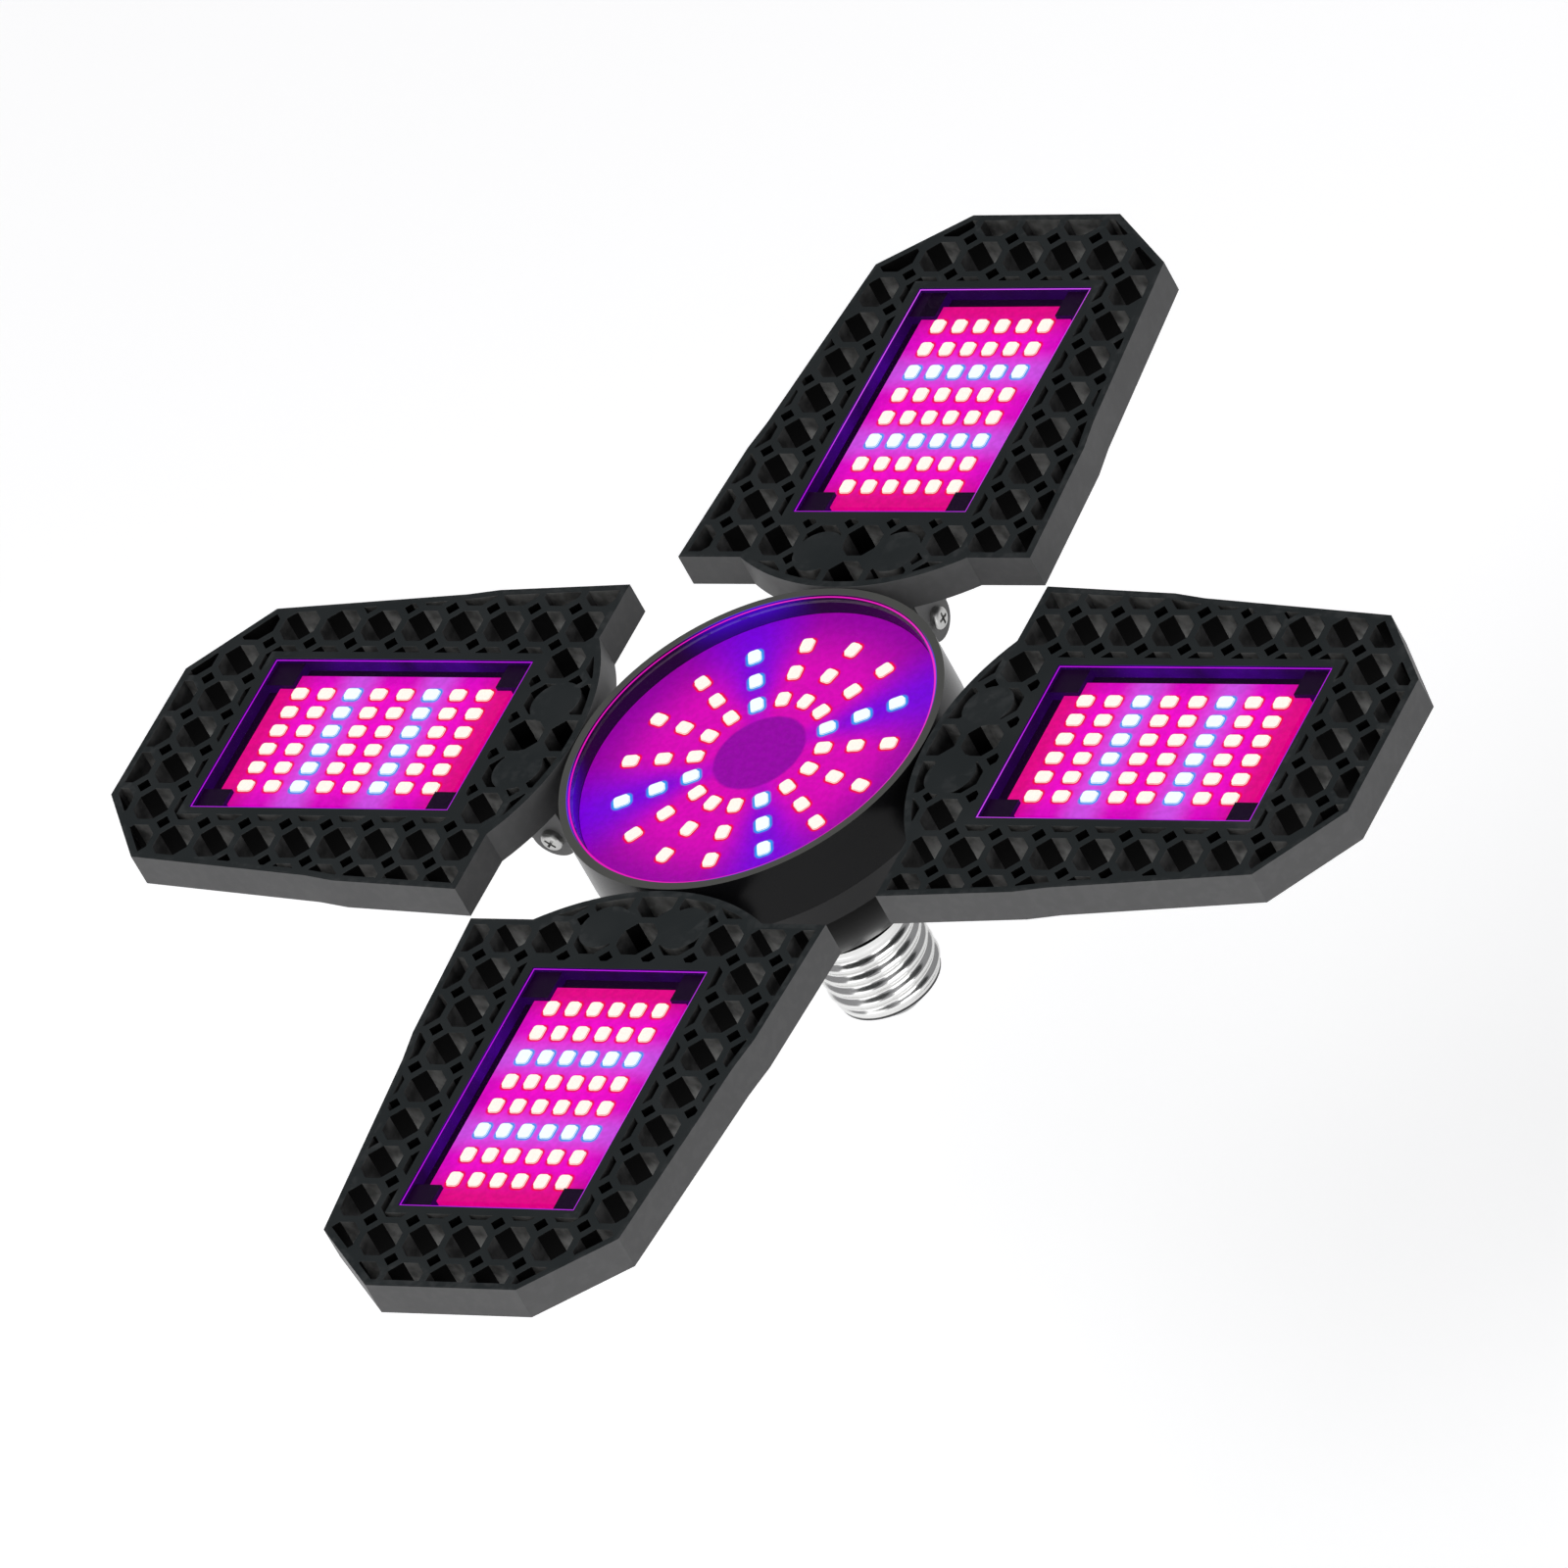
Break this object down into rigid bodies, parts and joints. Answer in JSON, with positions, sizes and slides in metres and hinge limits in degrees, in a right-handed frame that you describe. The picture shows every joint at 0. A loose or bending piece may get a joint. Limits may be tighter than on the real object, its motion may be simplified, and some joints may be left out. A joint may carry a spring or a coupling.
{
  "type": "foldable grow light",
  "caption": "Screw-in plant lamp: a round LED dish on a bowl-shaped driver housing, with lattice wings that fold back on hinges.",
  "frame": {"origin": "tip of the centre contact, on the lamp's axis", "axes": "+Z out of the lit face, along the lamp's axis; +X along the east wing and +Y along the north wing"},
  "size_m": [0.324, 0.324, 0.082],
  "materials": {
    "nickel": "polished nickel plate",
    "insulator": "gloss",
    "contact": "satin",
    "housing": "gloss",
    "casting": "satin powder coat",
    "bracket": "satin powder coat",
    "screw": "bright zinc",
    "led_board": "lit magenta solder mask",
    "cover": "clear",
    "red_led": "lit",
    "blue_led": "lit",
    "driver_board": "matte",
    "transformer": "matte",
    "capacitor": "sleeve",
    "rectifier": "matte"
  },
  "bodies": {
    "hub": {"screw_shell": "nickel", "shell_insulator": "insulator", "centre_contact": "contact", "driver_housing": "housing", "hub_ring": "casting", "housing_screws": "screw", "centre_board": "led_board", "centre_cover": "cover", "centre_red_leds": "red_led", "centre_blue_leds": "blue_led", "driver_board": "driver_board", "transformer": "transformer", "capacitors": "capacitor", "rectifier": "rectifier", "east_pivot_screws": "screw", "north_pivot_screws": "screw", "west_pivot_screws": "screw", "south_pivot_screws": "screw"},
    "east_wing": {"east_frame": "casting", "east_led_board": "led_board", "east_cover": "cover", "east_red_leds": "red_led", "east_blue_leds": "blue_led", "east_bracket": "bracket", "east_bracket_screws": "screw"},
    "north_wing": {"north_frame": "casting", "north_led_board": "led_board", "north_cover": "cover", "north_red_leds": "red_led", "north_blue_leds": "blue_led", "north_bracket": "bracket", "north_bracket_screws": "screw"},
    "west_wing": {"west_frame": "casting", "west_led_board": "led_board", "west_cover": "cover", "west_red_leds": "red_led", "west_blue_leds": "blue_led", "west_bracket": "bracket", "west_bracket_screws": "screw"},
    "south_wing": {"south_frame": "casting", "south_led_board": "led_board", "south_cover": "cover", "south_red_leds": "red_led", "south_blue_leds": "blue_led", "south_bracket": "bracket", "south_bracket_screws": "screw"}
  },
  "joints": [
    {"name": "east_fold", "type": "hinge", "parent": "hub", "child": "east_wing", "pos_m": [0.0527, 0, 0.0657], "axis": [0, 1, 0], "range_deg": [0, 90]},
    {"name": "north_fold", "type": "hinge", "parent": "hub", "child": "north_wing", "pos_m": [0, 0.0527, 0.0657], "axis": [-1, 0, 0], "range_deg": [0, 90]},
    {"name": "west_fold", "type": "hinge", "parent": "hub", "child": "west_wing", "pos_m": [-0.0527, 0, 0.0657], "axis": [0, -1, 0], "range_deg": [0, 90]},
    {"name": "south_fold", "type": "hinge", "parent": "hub", "child": "south_wing", "pos_m": [0, -0.0527, 0.0657], "axis": [1, 0, 0], "range_deg": [0, 90]}
  ]
}
